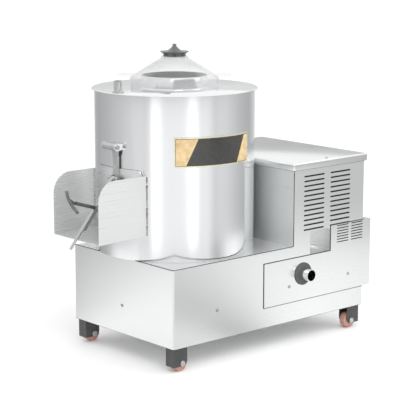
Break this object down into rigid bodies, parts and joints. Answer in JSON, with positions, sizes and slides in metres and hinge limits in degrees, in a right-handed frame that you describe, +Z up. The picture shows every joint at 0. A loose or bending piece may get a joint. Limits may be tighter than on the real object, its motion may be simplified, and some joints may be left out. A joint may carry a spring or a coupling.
{
  "type": "electric potato peeler",
  "caption": "Electric potato peeler: a belt-driven abrasive drum with a clear lid, clamped side door and discharge chute, beside a motor cabinet on a wheeled steel base.",
  "frame": {"origin": "centre of the part's bounding box in plan, at floor level under the wheels", "axes": "+X along the base from the chute to the motor cabinet, +Y from the waste outlet side to the back, +Z up"},
  "size_m": [1.0464, 0.5536, 0.9304],
  "materials": {
    "stainless_sheet": "satin",
    "polished_steel": "bright",
    "chrome": "bright",
    "zinc_plated": "satin",
    "cast_metal": "as cast",
    "blackened_steel": "satin",
    "black_paint": "satin",
    "dark_rubber": "matt",
    "red_tyre": "satin",
    "abrasive_coat": "rough grit",
    "clear_plastic": "clear",
    "black_plastic": "satin",
    "green_button": "gloss",
    "red_button": "gloss"
  },
  "bodies": {
    "housing": {"body_shell": "stainless_sheet", "base_pan": "stainless_sheet", "deck_plate": "stainless_sheet", "cabinet_side_panel": "stainless_sheet", "cabinet_cover": "stainless_sheet", "grip_pocket": "stainless_sheet", "service_panel": "stainless_sheet", "rear_cover": "stainless_sheet", "cable_gland": "black_plastic", "switch_housing": "stainless_sheet", "button_station": "black_plastic", "caster_bracket_front_left": "black_paint", "caster_bolt_front_left": "zinc_plated", "caster_bracket_back_left": "black_paint", "caster_bolt_back_left": "zinc_plated", "caster_bracket_front_right": "black_paint", "caster_bolt_front_right": "zinc_plated", "caster_bracket_back_right": "black_paint", "caster_bolt_back_right": "zinc_plated", "drum_shell": "polished_steel", "drum_liner": "abrasive_coat", "top_plate": "polished_steel", "water_inlet": "chrome", "discharge_chute": "stainless_sheet", "hinge_bracket": "stainless_sheet", "hinge_pin": "zinc_plated", "drain_pan": "stainless_sheet", "drain_hose": "dark_rubber", "waste_pipe": "polished_steel", "waste_flange": "dark_rubber", "support_beam": "black_paint", "bearing_housing": "cast_metal", "bearing_lower": "polished_steel", "bearing_upper": "polished_steel", "shaft_seal": "dark_rubber", "motor_body": "cast_metal", "motor_mount": "black_paint", "v_belt": "dark_rubber"},
    "rotor": {"abrasive_disc": "abrasive_coat", "disc_cap_nut": "polished_steel", "main_shaft": "polished_steel", "driven_pulley": "cast_metal"},
    "motor_rotor": {"motor_shaft": "polished_steel", "motor_pulley": "cast_metal"},
    "lid": {"lid_shell": "clear_plastic", "lid_knob": "black_plastic"},
    "door": {"door_plate": "stainless_sheet", "door_seal": "dark_rubber", "door_strap": "cast_metal", "clamp_pivot_bolt": "zinc_plated"},
    "clamp": {"clamp_bar": "stainless_sheet"},
    "pad": {"clamp_pad": "zinc_plated"},
    "screw": {"clamp_spindle": "blackened_steel", "t_grip": "zinc_plated"},
    "start": {"start_button": "green_button"},
    "stop": {"stop_button": "red_button"},
    "wheel_front_left": {"caster_wheel_front_left": "red_tyre"},
    "wheel_back_left": {"caster_wheel_back_left": "red_tyre"},
    "wheel_front_right": {"caster_wheel_front_right": "red_tyre"},
    "wheel_back_right": {"caster_wheel_back_right": "red_tyre"}
  },
  "joints": [
    {"name": "disc_spin", "type": "hinge", "parent": "housing", "child": "rotor", "pos_m": [-0.09791, 0.0243, 0.3505], "axis": [0, 0, 1], "continuous": true},
    {"name": "motor_spin", "type": "hinge", "parent": "housing", "child": "motor_rotor", "pos_m": [0.33159, 0.0243, 0.1155], "axis": [0, 0, 1], "continuous": true},
    {"name": "lid_lift", "type": "slide", "parent": "housing", "child": "lid", "axis": [0, 0, 1], "range_m": [0, 0.15]},
    {"name": "door_swing", "type": "hinge", "parent": "housing", "child": "door", "pos_m": [-0.35541, -0.0027, 0.6445], "axis": [0, 1, 0], "range_deg": [0, 80]},
    {"name": "bar_swing", "type": "hinge", "parent": "door", "child": "clamp", "pos_m": [-0.35691, -0.0027, 0.5505], "axis": [0, 1, 0], "range_deg": [0, 45]},
    {"name": "pad_travel", "type": "slide", "parent": "clamp", "child": "pad", "axis": [-0.9537, 0, 0.3007], "range_m": [0, 0.024]},
    {"name": "screw_turn", "type": "hinge", "parent": "pad", "child": "screw", "pos_m": [-0.35211, -0.0027, 0.44843], "axis": [-0.9537, 0, 0.3007], "range_deg": [0, 2880]},
    {"name": "roll_front_left", "type": "hinge", "parent": "housing", "child": "wheel_front_left", "pos_m": [-0.29141, -0.2177, 0.0255], "axis": [0, 1, 0], "continuous": true},
    {"name": "roll_back_left", "type": "hinge", "parent": "housing", "child": "wheel_back_left", "pos_m": [-0.29141, 0.2058, 0.0255], "axis": [0, 1, 0], "continuous": true},
    {"name": "roll_front_right", "type": "hinge", "parent": "housing", "child": "wheel_front_right", "pos_m": [0.42709, -0.2177, 0.0255], "axis": [0, 1, 0], "continuous": true},
    {"name": "roll_back_right", "type": "hinge", "parent": "housing", "child": "wheel_back_right", "pos_m": [0.42709, 0.2058, 0.0255], "axis": [0, 1, 0], "continuous": true},
    {"name": "start_push", "type": "slide", "parent": "housing", "child": "start", "axis": [-1, 0, 0], "range_m": [0, 0.004], "stiffness_N_per_m": 350},
    {"name": "stop_push", "type": "slide", "parent": "housing", "child": "stop", "axis": [-1, 0, 0], "range_m": [0, 0.004], "stiffness_N_per_m": 350}
  ],
  "couplings": [
    {"joint": "motor_spin", "follows": "disc_spin", "ratio": 3.3871},
    {"joint": "screw_turn", "follows": "pad_travel", "rad_per_m": 2094.4}
  ]
}
